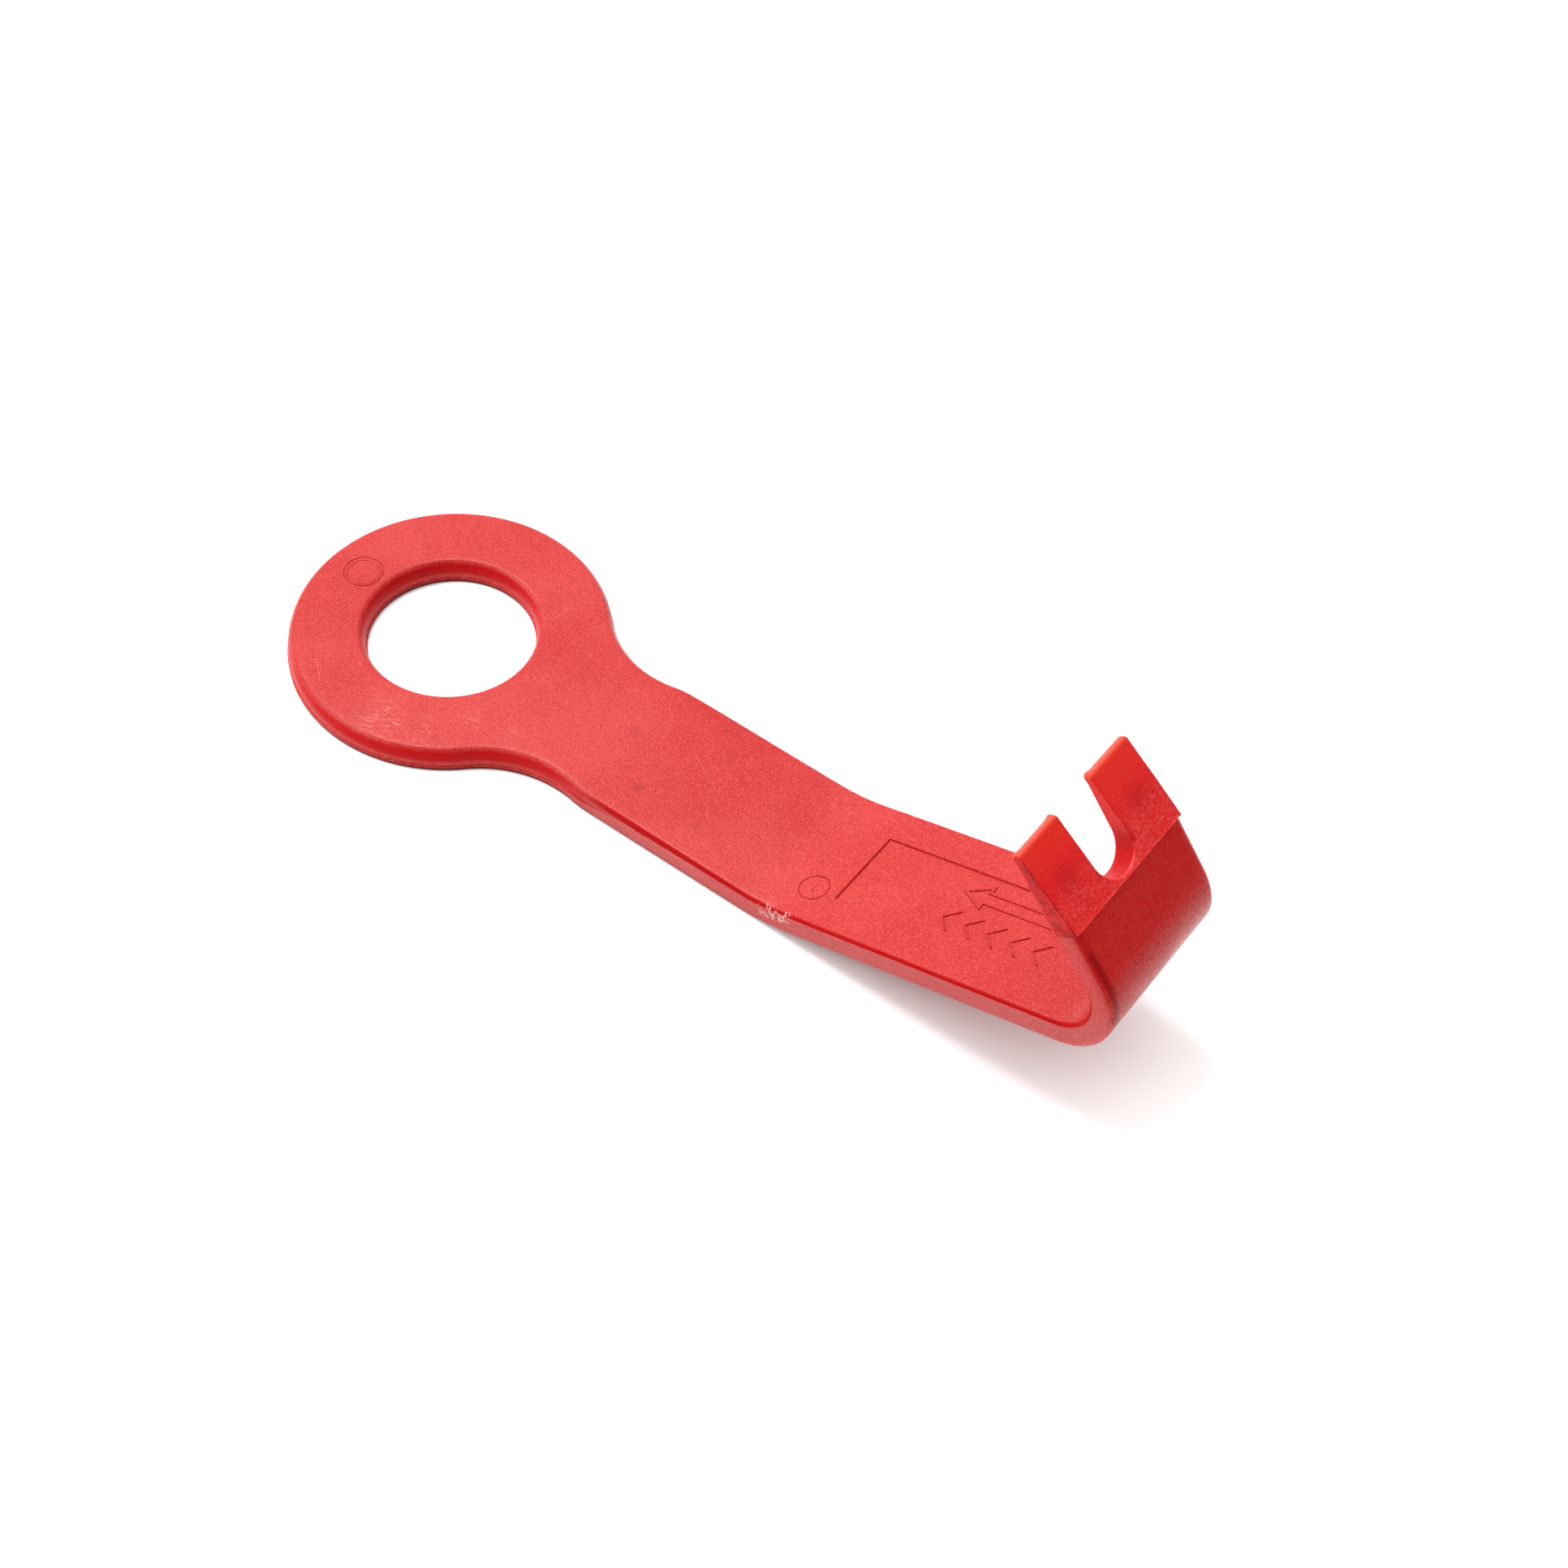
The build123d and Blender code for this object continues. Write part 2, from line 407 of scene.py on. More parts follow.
def mark_loops():
    """Closed loops on the upper side, outermost first, each with its height there."""
    on_arm = S_ARM - ELBOW_TANGENT
    left = on_arm + PANEL_START
    right = S_HEEL - PANEL_HEEL_GAP
    panel = [
        (left, -PANEL_HALF),
        (right - PANEL_CUT, -PANEL_HALF),
        (right, -PANEL_HALF + PANEL_CUT),
        (right, PANEL_HALF),
        (left, PANEL_HALF),
    ]
    loops = [(divided(panel, PANEL_STEP), 0.0)]
    loops.append((divided(shrink(panel, WALL_DRAFT), PANEL_STEP), -PANEL_DEPTH))
    x = right - ARROW_MARGIN - ARROW_LENGTH
    arrow = np.array([
        (0, 0),
        (ARROW_HEAD, -ARROW_WIDTH / 2),
        (ARROW_HEAD, -ARROW_SHAFT / 2),
        (ARROW_LENGTH, -ARROW_SHAFT / 2),
        (ARROW_LENGTH, ARROW_SHAFT / 2),
        (ARROW_HEAD, ARROW_SHAFT / 2),
        (ARROW_HEAD, ARROW_WIDTH / 2),
    ]) + (x, MARK_OFFSET)
    loops += raised(arrow, -PANEL_DEPTH, MARK_HEIGHT)
    top_edge = divided(shrink(arrow, STROKE - MARK_DRAFT), MARK_STEP)
    loops.append((top_edge, -PANEL_DEPTH + MARK_HEIGHT))
    loops.append((divided(shrink(arrow, STROKE), MARK_STEP), -PANEL_DEPTH))
    for k in range(CHEVRONS):
        chevron = np.array([
            (0, 0),
            (CHEVRON_DEPTH, -CHEVRON_WIDTH / 2),
            (CHEVRON_DEPTH + STROKE, -CHEVRON_WIDTH / 2),
            (STROKE, 0),
            (CHEVRON_DEPTH + STROKE, CHEVRON_WIDTH / 2),
            (CHEVRON_DEPTH, CHEVRON_WIDTH / 2),
        ]) + (x + k * CHEVRON_SPACING, -MARK_OFFSET)
        loops += raised(chevron, -PANEL_DEPTH, MARK_HEIGHT)
    return loops


def round_marks():
    """Fine circular grooves: one by the elbow, and one left on the ring by the mould."""
    by_elbow = (S_ARM - ELBOW_TANGENT + ELBOW_MARK[0], ELBOW_MARK[1])
    loops = groove(by_elbow, ELBOW_MARK_RADIUS, GROOVE_DEPTH, GROOVE_HALF)
    across, along = BAR_WIDTH / 2, BAR_LENGTH / 2
    bar = np.array([(-across, -along), (across, -along), (across, along), (-across, along)])
    bar = bar + by_elbow
    loops += [(divided(bar, 0.4), 0.0), (divided(shrink(bar, 0.08), 0.4), BAR_HEIGHT)]
    loops += groove(RING_MARK, RING_MARK_RADIUS, GROOVE_DEPTH, GROOVE_HALF)
    inner = (RING_MARK[0] + RING_MARK_SHIFT[0], RING_MARK[1] + RING_MARK_SHIFT[1])
    loops += groove(inner, RING_MARK_INNER, 0.6 * GROOVE_DEPTH, GROOVE_HALF)
    return loops


# ---- Filling the plate's two sides ----

# Rows that are kept whole, so that edges follow the zones' borders and the witness line
WHOLE_ROWS = BORDERS + [
    S_FORK - WITNESS_RISE / 2,
    S_FORK + WITNESS_RISE / 2,
    S_FORK + WITNESS_RISE,
]

# Spaces between points on the two sides, and how near a point may come to a line
UPPER_STEP = 1.1
LOWER_STEP = 1.3
ROW_CLEARANCE = 0.05
BROAD_CLEARANCE = 0.42
FINE_CLEARANCE = 0.14
SAME = 1e-6


def inside(points, loop):
    """Whether each point is inside the closed loop."""
    result = np.zeros(len(points), bool)
    for (ax, ay), (bx, by) in zip(loop, np.roll(loop, -1, 0)):
        crosses = (ay > points[:, 1]) != (by > points[:, 1])
        if ay != by:
            at_x = ax + (points[:, 1] - ay) * (bx - ax) / (by - ay)
            result ^= crosses & (points[:, 0] < at_x)
    return result


def far_from(points, others, distance):
    """The points that keep this distance from all the others."""
    keep = np.ones(len(points), bool)
    for start in range(0, len(points), 400):
        block = points[start:start + 400]
        gap = np.linalg.norm(block[:, None, :] - others[None, :, :], axis=2).min(1)
        keep[start:start + 400] = gap > distance
    return points[keep]


def ring_grid():
    """Points spread over the ring and the neck."""
    points = []
    for radius in np.arange(HOLE_RADIUS + 1, RING_RADIUS, 1.15):
        points.append(arc((0, 0), radius, 0, 2 * math.pi, 1.25))
    for s in np.arange(RING_RADIUS - 1.5, S_HANDLE - 0.6, 1.1):
        points.append(np.stack([np.full(26, s), np.linspace(-16, 16, 26)], 1))
    points = np.concatenate(points)
    beyond_ring = np.linalg.norm(points, axis=1) > RING_RADIUS - 0.9
    in_rows = points[:, 0] > RING_RADIUS - 1.6
    return points[~beyond_ring | in_rows]


def split_at_borders(loop):
    """The loop with a point added wherever it crosses a border between zones."""
    points = []
    for a, b in zip(loop, np.roll(loop, -1, 0)):
        points.append(a)
        for border in BORDERS:
            if (a[0] - border) * (b[0] - border) < 0:
                share = (border - a[0]) / (b[0] - a[0])
                points.append((border, a[1] + share * (b[1] - a[1])))
    return np.array(points)


def fill_side(edges, marks, step_y):
    """Triangles over one side of the plate. edges are the rim's loops on that side, as
    (s, y) points; the result is the added points, their depths and the triangles."""
    marks = [(split_at_borders(loop), height) for loop, height in marks]
    rim_count = sum(len(edge) for edge in edges)
    points = list(edges) + [loop for loop, _ in marks]
    heights = [np.zeros(rim_count)] + [np.full(len(loop), height) for loop, height in marks]
    constraints = []
    count = 0
    for loop in points:
        ids = np.arange(count, count + len(loop))
        constraints += list(zip(ids.tolist(), np.roll(ids, -1).tolist()))
        count += len(loop)
    fixed = np.concatenate(points)
    rim = edges[0]
    grid = []
    for s in strap_stations()[:-1]:
        reach = np.abs(rim[np.abs(rim[:, 0] - s) < SAME, 1])
        reach = reach.max() if len(reach) else HALF_WIDTH - 1
        across = np.linspace(-reach, reach, max(4, round(2 * reach / step_y)))[1:-1]
        row = np.stack([np.full(len(across), s), across], 1)
        if min(abs(s - line) for line in WHOLE_ROWS) > SAME:
            grid.append(row)
            continue
        row = far_from(row, fixed, ROW_CLEARANCE)
        row_ids = np.arange(count, count + len(row))
        on_line = np.nonzero(np.abs(fixed[:, 0] - s) < SAME)[0]
        ids = np.concatenate([row_ids, on_line])
        order = np.argsort(np.concatenate([row[:, 1], fixed[on_line, 1]]))
        ids = ids[order].tolist()
        constraints += list(zip(ids[:-1], ids[1:]))
        points.append(row)
        heights.append(depth_at(row, marks))
        fixed = np.concatenate([fixed, row])
        count += len(row)
    free = np.concatenate(grid + [ring_grid()])
    free = free[inside(free, edges[0]) & ~inside(free, edges[1])]
    dense = free[:, 0] > S_HEEL
    free = np.concatenate([
        far_from(free[~dense], fixed, BROAD_CLEARANCE),
        far_from(free[dense], fixed, FINE_CLEARANCE),
    ])
    points.append(free)
    heights.append(depth_at(free, marks))
    flat = np.concatenate(points)
    height = np.concatenate(heights)
    result = delaunay_2d_cdt([Vector(p) for p in flat], constraints, [], 0, 1e-7)
    first = np.array([ids[0] if ids else -1 for ids in result[3]])
    if (first < 0).any():
        raise ValueError("two lines on one side of the plate cross")
    triangles = first[np.array([tuple(face) for face in result[2]])]
    a, b, c = flat[triangles[:, 0]], flat[triangles[:, 1]], flat[triangles[:, 2]]
    area = (b[:, 0] - a[:, 0]) * (c[:, 1] - a[:, 1])
    area = area - (b[:, 1] - a[:, 1]) * (c[:, 0] - a[:, 0])
    triangles[area < 0] = triangles[area < 0][:, ::-1]
    centres = flat[triangles].mean(1)
    keep = inside(centres, edges[0]) & ~inside(centres, edges[1]) & (np.abs(area) > 1e-9)
    return flat[rim_count:], height[rim_count:], triangles[keep]


def depth_at(points, marks):
    """How far the marks raise or sink each point; later loops are inside earlier ones."""
    level = np.zeros(len(points))
    for loop, height in marks:
        level[inside(points, loop)] = height
    return level


# ---- The whole surface, flat ----

def flat_surface():
    """Vertices (s, y, h) and faces of the whole flat plate."""
    loops = [outline(), finger_hole()]
    rows = [rim_rows(loop) for loop in loops]
    row_count = rows[0].shape[1]
    vertices = []
    faces = []
    tops = []
    bottoms = []
    count = 0
    for rim in rows:
        n = len(rim)
        ids = count + np.arange(n * row_count).reshape(n, row_count)
        after = np.roll(ids, -1, 0)
        quads = np.stack([ids[:, 1:], after[:, 1:], after[:, :-1], ids[:, :-1]], 2)
        faces += quads.reshape(-1, 4).tolist()
        vertices.append(rim.reshape(-1, 3))
        tops.append(ids[:, 0])
        bottoms.append(ids[:, -1])
        count += n * row_count
    for side, ids, marks in ((1, tops, mark_loops() + round_marks()), (-1, bottoms, [])):
        edge_ids = np.concatenate(ids)
        flat = np.concatenate(vertices)
        edges = [flat[i][:, :2] for i in ids]
        step_y = UPPER_STEP if side > 0 else LOWER_STEP
        added, depth, triangles = fill_side(edges, marks, step_y)
        base = THICKNESS + depth if side > 0 else outer_face(added[:, 0])
        lookup = np.concatenate([edge_ids, count + np.arange(len(added))])
        triangles = lookup[triangles]
        faces += (triangles if side > 0 else triangles[:, ::-1]).tolist()
        vertices.append(np.column_stack([added, base]))
        count += len(added)
    return np.concatenate(vertices), faces


def vertex_normals(vertices, faces):
    """Unit normals from the faces round each vertex."""
    normals = np.zeros_like(vertices)
    for size in (3, 4):
        group = np.array([face for face in faces if len(face) == size])
        corners = vertices[group]
        across = corners[:, -1] - corners[:, 1] if size == 4 else corners[:, 2] - corners[:, 0]
        along = corners[:, 2] - corners[:, 0] if size == 4 else corners[:, 1] - corners[:, 0]
        face_normals = np.cross(along, across)
        for k in range(size):
            np.add.at(normals, group[:, k], face_normals)
    return normals / np.maximum(np.linalg.norm(normals, axis=1), 1e-12)[:, None]


# The surface's unevenness, as depths, and then its damage
WAVE = 0.02
SMALL_WAVE = 0.008
SIDE_RIPPLE = 0.02
FORK_SIDE_ROUGHNESS = 0.11
NICK = (84, -14.6)
NICK_DEPTH = 0.24
TIP_FLASH = ((4.9, 0.9), (-14.6, 0.8), (-5.2, 0.6))
TIP_FLASH_HEIGHT = 0.2


def worn(vertices, faces):
    """The flat surface with the moulding's unevenness and its damage."""
    normals = vertex_normals(vertices, faces)
    s, y, h = vertices.T
    inward = WAVE + WAVE * noise_at(vertices, 13.0, 1)
    inward += SMALL_WAVE * noise_at(vertices, 4.0, 2)
    side = ease(np.abs(normals[:, 2]), 0.75, 0.35)
    inward += side * SIDE_RIPPLE * (1 + noise_at(vertices, 1.6, 3))

    # The near side of the fork is rough
    near_fork = ease(s, S_FORK + 0.4, S_FORK + 1.6) * ease(y, -13.2, -14.6) * side
    rough = noise_at(vertices * (1, 1, 1.8), 0.9, 4) + 0.6 * noise_at(vertices, 0.4, 5)
    inward += near_fork * FORK_SIDE_ROUGHNESS * np.clip(1 + rough, 0, 3)

    # A nick in the near edge by the elbow
    nick = np.exp(-(((s - NICK[0]) / 2.6) ** 2) - ((y - NICK[1]) / 0.7) ** 2)
    nick = nick * ease(h, 3.0, 3.9)
    inward += nick * NICK_DEPTH * np.clip(0.8 + 0.8 * noise_at(vertices, 0.8, 6), 0, 2)
    inward = np.clip(inward, 0, None)

    # Small lumps of flash at the fork's tips, at these places across it and these sizes
    for tip_y, size in TIP_FLASH:
        away = np.linalg.norm(vertices - (S_TIP - 0.2, tip_y, THICKNESS - 0.3), axis=1)
        inward -= TIP_FLASH_HEIGHT * np.exp(-((away / size) ** 2))
    return vertices - normals * inward[:, None]


# ---- Bent, divided into zones and written ----

SHARP_DEGREES = 34


def end_loop(faces, on_border):
    """The vertices round a zone's open end, in order, from the faces that meet there."""
    ahead = {}
    edges = set()
    for face in faces:
        for a, b in zip(face, face[1:] + face[:1]):
            edges.add((a, b))
    for a, b in edges:
        if (b, a) not in edges and on_border[a] and on_border[b]:
            ahead[b] = a
    first = next(iter(ahead))
    loop = [first]
    while ahead[loop[-1]] != first:
        loop.append(ahead[loop[-1]])
    return loop


def section(points, loop):
    """Triangles that close a zone's end, wound the way the loop runs."""
    flat = np.array([points[i][1:3] for i in loop])
    ahead = np.roll(flat, -1, 0)
    area = (flat[:, 0] * ahead[:, 1] - flat[:, 1] * ahead[:, 0]).sum()
    edges = [(k, (k + 1) % len(loop)) for k in range(len(loop))]
    result = delaunay_2d_cdt([Vector(p) for p in flat], edges, [], 0, 1e-7)
    first = [ids[0] for ids in result[3]]
    triangles = []
    for face in result[2]:
        corners = [first[k] for k in face]
        if inside(flat[corners].mean(0)[None], flat)[0]:
            a, b, c = flat[corners]
            turn = (b[0] - a[0]) * (c[1] - a[1]) - (b[1] - a[1]) * (c[0] - a[0])
            order = corners if turn * area > 0 else corners[::-1]
            triangles.append([loop[k] for k in order])
    return triangles


def build_zones():
    """One closed mesh for each zone, with normals from the whole surface."""
    level, faces = flat_surface()
    flat = worn(level, faces)
    place = bend(flat[:, 0], flat[:, 1], flat[:, 2]) * MM
    whole = bpy.data.meshes.new("whole")
    whole.from_pydata(place.tolist(), [], faces)
    whole.polygons.foreach_set("use_smooth", np.ones(len(whole.polygons), bool))
    whole.set_sharp_from_angle(angle=math.radians(SHARP_DEGREES))
    corners = np.zeros(len(whole.loops) * 3, np.float32)
    whole.corner_normals.foreach_get("vector", corners)
    corners = corners.reshape(-1, 3)
    starts = np.zeros(len(faces), int)
    whole.polygons.foreach_get("loop_start", starts)
    bpy.data.meshes.remove(whole)
    middles = np.array([level[face, 0].mean() for face in faces])
    made = {}
    for name, low, high in ZONES:
        own = np.nonzero((middles > low) & (middles < high))[0]
        zone_faces = [list(faces[i]) for i in own]
        rims = set()
        normals = [corners[starts[i] + k] for i in own for k in range(len(faces[i]))]
        for border, facing in ((low, -1), (high, 1)):
            on_border = np.abs(level[:, 0] - border) < SAME
            if not on_border.any():
                continue
            loop = end_loop(zone_faces, on_border)
            rims.update(frozenset(pair) for pair in zip(loop, loop[1:] + loop[:1]))
            cap = section(level, loop)
            axis = bend([border, border + 0.01], [0, 0], [0, 0])
            axis = (axis[1] - axis[0]) / np.linalg.norm(axis[1] - axis[0]) * facing
            zone_faces += cap
            normals += [axis] * (3 * len(cap))
        used = np.unique(np.concatenate([np.array(face) for face in zone_faces]))
        index = {old: new for new, old in enumerate(used.tolist())}
        mesh = bpy.data.meshes.new(name + "_moulding")
        mesh.from_pydata(
            place[used].tolist(), [], [[index[i] for i in face] for face in zone_faces]
        )
        mesh.polygons.foreach_set("use_smooth", np.ones(len(mesh.polygons), bool))
        where = mesh.attributes.new("plate", "FLOAT_VECTOR", "POINT")
        where.data.foreach_set("vector", level[used].astype(np.float32).ravel())
        for edge in mesh.edges:
            edge.use_edge_sharp = frozenset(int(used[k]) for k in edge.vertices) in rims
        mesh.normals_split_custom_set([tuple(map(float, n)) for n in normals])
        piece = bpy.data.objects.new(name + "_moulding", mesh)
        bpy.context.collection.objects.link(piece)
        made[name] = piece
    return made


# ---- Plastic ----

class Nodes:
    """Short ways to make and join a material's nodes."""

    def __init__(self, name):
        self.material = bpy.data.materials.new(name)
        self.material.use_nodes = True
        self.tree = self.material.node_tree
        self.shader = self.tree.nodes["Principled BSDF"]
        where = self.add("ShaderNodeAttribute")
        where.attribute_name = "plate"
        self.plate = where.outputs["Vector"]
        split = self.add("ShaderNodeSeparateXYZ")
        self.join(self.plate, split.inputs[0])
        self.s, self.y, self.h = split.outputs
        self.off_middle = self.math("ABSOLUTE", self.y)
        place = self.add("ShaderNodeTexCoord")
        self.place = place.outputs["Object"]

    def add(self, kind, **settings):
        node = self.tree.nodes.new(kind)
        for key, value in settings.items():
            setattr(node, key, value)
        return node

    def join(self, source, target):
        if isinstance(source, bpy.types.NodeSocket):
            self.tree.links.new(source, target)
        else:
            target.default_value = source

    def math(self, operation, a, b=0.0, clamp=False):
        node = self.add("ShaderNodeMath", operation=operation, use_clamp=clamp)
        self.join(a, node.inputs[0])
        self.join(b, node.inputs[1])
        return node.outputs[0]

    def noise(self, size, detail=2.0, roughness=0.5, where=None, distortion=0.0):
        """Noise with features of this size in millimetres; its value is from 0 to 1."""
        node = self.add("ShaderNodeTexNoise")
        self.join(self.place if where is None else where, node.inputs["Vector"])
        node.inputs["Scale"].default_value = (1 if where is not None else 1000) / size
        node.inputs["Detail"].default_value = detail
        node.inputs["Roughness"].default_value = roughness
        node.inputs["Distortion"].default_value = distortion
        return node.outputs[0]

    def step(self, value, start, end, low=0.0, high=1.0):
        node = self.add("ShaderNodeMapRange", interpolation_type="SMOOTHSTEP")
        self.join(value, node.inputs["Value"])
        node.inputs["From Min"].default_value = start
        node.inputs["From Max"].default_value = end
        node.inputs["To Min"].default_value = low
        node.inputs["To Max"].default_value = high
        return node.outputs["Result"]

    def mix(self, share, a, b):
        node = self.add("ShaderNodeMix", data_type="RGBA")
        self.join(share, node.inputs["Factor"])
        for value, target in ((a, node.inputs[6]), (b, node.inputs[7])):
            self.join((*value, 1.0) if isinstance(value, tuple) else value, target)
        return node.outputs[2]

    def spot(self, s, y, radius, soft=0.5):
        """1 within this distance of a point on the plate, 0 outside."""
        ds = self.math("SUBTRACT", self.s, s)
        dy = self.math("SUBTRACT", self.y, y)
        square = self.math("ADD", self.math("MULTIPLY", ds, ds), self.math("MULTIPLY", dy, dy))
        return self.step(self.math("SQRT", square), radius, radius * (1 - soft))

    def line(self, start, end, width):
        """1 along a line between two points on the plate, fading at its ends."""
        dx, dy = end[0] - start[0], end[1] - start[1]
        length = math.hypot(dx, dy)
        dx, dy = dx / length, dy / length
        s = self.math("SUBTRACT", self.s, start[0])
        y = self.math("SUBTRACT", self.y, start[1])
        along = self.math("ADD", self.math("MULTIPLY", s, dx), self.math("MULTIPLY", y, dy))
        off = self.math("SUBTRACT", self.math("MULTIPLY", y, dx), self.math("MULTIPLY", s, dy))
        beside = self.step(self.math("ABSOLUTE", off), width, width * 0.3)
        begins = self.step(along, 0, length * 0.15)
        ends = self.step(along, length, length * 0.8)
        return self.math("MULTIPLY", beside, self.math("MULTIPLY", begins, ends))

    def most(self, *masks):
        """Where any of the masks is, as strong as the strongest."""
        result = masks[0]
        for mask in masks[1:]:
            result = self.math("MAXIMUM", result, mask)
        return result

    def both(self, *masks):
        """Where all the masks are, multiplied together; a number weakens the result."""
        result = masks[0]
        for mask in masks[1:]:
            result = self.math("MULTIPLY", result, mask)
        return result

    def tint(self, mask, share, colour):
        """Brings the colour this share of the way to another, where the mask is."""
        self.colour = self.mix(self.both(mask, share), self.colour, colour)

    def dull(self, mask, least):
        """Cuts the gloss to this share of itself where the mask is."""
        self.gloss = self.both(self.gloss, self.step(mask, 0.0, 1.0, 1.0, least))

    def bump(self, height, distance, strength, normal=None):
        node = self.add("ShaderNodeBump")
        node.inputs["Strength"].default_value = strength
        node.inputs["Distance"].default_value = distance * MM
        self.join(height, node.inputs["Height"])
        if normal is not None:
            self.join(normal, node.inputs["Normal"])
        return node.outputs[0]


# Reds, as linear colours, and the other values that the plastic is made from. Some
# reds are painted light: painted shade, sheen, reflections, glow and a shadow.
BODY_REDS = ((0.500, 0.0110, 0.0100), (0.400, 0.0030, 0.0035), (0.640, 0.0600, 0.0520))
FORK_REDS = ((0.86, 0.0100, 0.0135), (0.70, 0.0030, 0.0050), (0.86, 0.0320, 0.0280))
SCRATCH = (0.72, 0.20, 0.18)
DARK_SPOT = (0.30, 0.006, 0.008)
# Painted shade on the shank
SHANK_PAINTED_SHADE = (0.68, 0.0015, 0.0040)
# Painted sheen low on the heel's outer side
HEEL_PAINTED_SHEEN = (0.95, 0.19, 0.17)
# Painted shade along the shank's near edge
SHANK_EDGE_PAINTED_SHADE = (0.36, 0.002, 0.004)
# Painted shade on the ring's rounded rim
RIM_PAINTED_SHADE = (0.60, 0.0025, 0.0055)
# Painted reflection low on the ring's rim
RIM_PAINTED_REFLECTION = (0.80, 0.14, 0.13)
# Painted contact shadow
PAINTED_CONTACT_SHADOW = (0.10, 0.006, 0.007)
# Painted reflection on the strap's matt band
BAND_PAINTED_REFLECTION = (0.78, 0.17, 0.16)
# Painted shade on the strap's upper step
STEP_PAINTED_SHADE = (0.46, 0.0006, 0.0015)
# Painted shade on the panel's walls and edges, and on its marks' walls
RECESS_PAINTED_SHADE = (0.40, 0.002, 0.004)
TORN = (0.86, 0.58, 0.52)
# Painted glow where the fork is thin, and at its tips
THIN_PAINTED_GLOW = (0.90, 0.030, 0.012)
TIP_PAINTED_GLOW = (0.95, 0.075, 0.04)
# Painted shade where the prongs are thick
THICK_PAINTED_SHADE = (0.54, 0.004, 0.007)
SPECKLE = (0.88, 0.16, 0.14)
# Painted shade on the slot's wall
SLOT_PAINTED_SHADE = (0.44, 0.003, 0.005)
FORK_SIDE = (0.46, 0.012, 0.014)
BODY_ROUGHNESS = 0.32
FORK_ROUGHNESS = 0.33
GLOSS = 0.2
SHANK_GLOSS = 0.06
PLASTIC_IOR = 1.49
BODY_GRAIN = 0.9
FORK_GRAIN = 1.0
EXPOSURE_SHARE = 0.34

# Spots and lines, as places on the plate: s, y and radius with a strength, or two ends
RUBBED = ((12.0, -20.8, 5.0, 0.8), (17.0, -14.5, 4.0, 0.6), (24.0, -12.5, 4.0, 0.35))
DARK_SPOTS = (
    (62.7, -8.3, 1.8, 0.55),
    (41.0, 1.5, 1.8, 0.5),
    (0.9, -24.4, 2.2, 0.6),
    (71.0, 3.0, 1.5, 0.35),
)
HAIRLINES = (
    ((11.4, 14.3), (13.3, 13.6)),
    ((13.3, 13.6), (13.6, 17.0)),
    ((-14.0, -20.5), (-9.5, -24.0)),
    ((52.0, 4.5), (58.0, 1.2)),
    ((61.0, -3.0), (63.4, -6.2)),
    ((33.5, 8.0), (36.2, 9.4)),
    ((92.0, 10.5), (97.0, 9.2)),
)
HAIRLINE_WIDTH = 0.1
PRONG_Y = 9.9


def plastic(name, reds, roughness, grain):
    """Moulded red plastic with a fine satin grain and slow changes of shade."""
    base, darker, lighter = reds
    n = Nodes(name)
    broad = n.noise(24.0, 3.0, 0.55)
    mottle = n.noise(2.6, 3.0, 0.6)
    n.fine = n.noise(0.34, 2.0, 0.75)
    colour = n.mix(n.step(broad, 0.35, 0.7, 0.0, 0.5), base, lighter)
    colour = n.mix(n.step(mottle, 0.5, 0.3, 0.0, 0.2), colour, darker)
    colour = n.mix(n.step(n.fine, 0.48, 0.34, 0.0, 0.9), colour, darker)
    n.colour = n.mix(n.step(n.fine, 0.52, 0.66), colour, lighter)
    n.rough = n.math("ADD", n.step(n.noise(9.0, 4.0), 0.3, 0.7, -0.03, 0.05), roughness)
    n.gloss = GLOSS
    n.shader.inputs["IOR"].default_value = PLASTIC_IOR
    normal = n.bump(n.noise(0.42, 2.0, 0.65), 0.07, grain)
    n.normal = n.bump(mottle, 0.06, 0.3, normal)
    return n


def finish(n):
    """Joins the worked-out values to the shader, with the colour brought down to suit
    the strong light."""
    n.join(n.mix(EXPOSURE_SHARE, n.colour, (0, 0, 0)), n.shader.inputs["Base Color"])
    n.join(n.rough, n.shader.inputs["Roughness"])
    n.join(n.gloss, n.shader.inputs["Specular IOR Level"])
    n.join(n.normal, n.shader.inputs["Normal"])
    return n.material


def streaks(n, turn, along, across, low, high):
    """Short scratches that run one way, as a mask."""
    turned = n.add("ShaderNodeVectorRotate", rotation_type="Z_AXIS")
    n.join(n.plate, turned.inputs["Vector"])
    turned.inputs["Angle"].default_value = turn
    drawn_out = n.add("ShaderNodeMapping")
    n.join(turned.outputs[0], drawn_out.inputs["Vector"])
    drawn_out.inputs["Scale"].default_value = (1 / along, 1 / across, 1)
    return n.step(n.noise(1.0, 3.0, 0.7, drawn_out.outputs[0], 0.6), low, high)


def wear(n, upper):
    """Scratches and hairlines, and small dark spots that go right through the plate."""
    # Short scratches in rubbed patches on the ring's near side, on both faces
    rubbed = n.spot(4.5, -23.6, 6.5, 0.7)
    for s, y, radius, strength in RUBBED:
        rubbed = n.most(rubbed, n.both(n.spot(s, y, radius, 0.8), strength))
    n.tint(n.both(streaks(n, -0.35, 1.7, 0.34, 0.5, 0.68), rubbed), 0.7, SCRATCH)

    # Faint wear all over the upper side, and a few long hairlines
    patches = n.step(n.noise(11.0), 0.45, 0.7)
    n.tint(n.both(streaks(n, 0.3, 2.6, 0.3, 0.66, 0.8), patches, upper), 0.22, SCRATCH)
    hairlines = n.most(*[n.line(start, end, HAIRLINE_WIDTH) for start, end in HAIRLINES])
    n.tint(n.both(hairlines, upper), 0.3, SCRATCH)

    dark = n.spot(49.6, -7.8, 1.6, 0.9)
    for s, y, radius, strength in DARK_SPOTS:
        dark = n.most(dark, n.both(n.spot(s, y, radius, 0.9), strength))
    n.tint(dark, 0.5, DARK_SPOT)


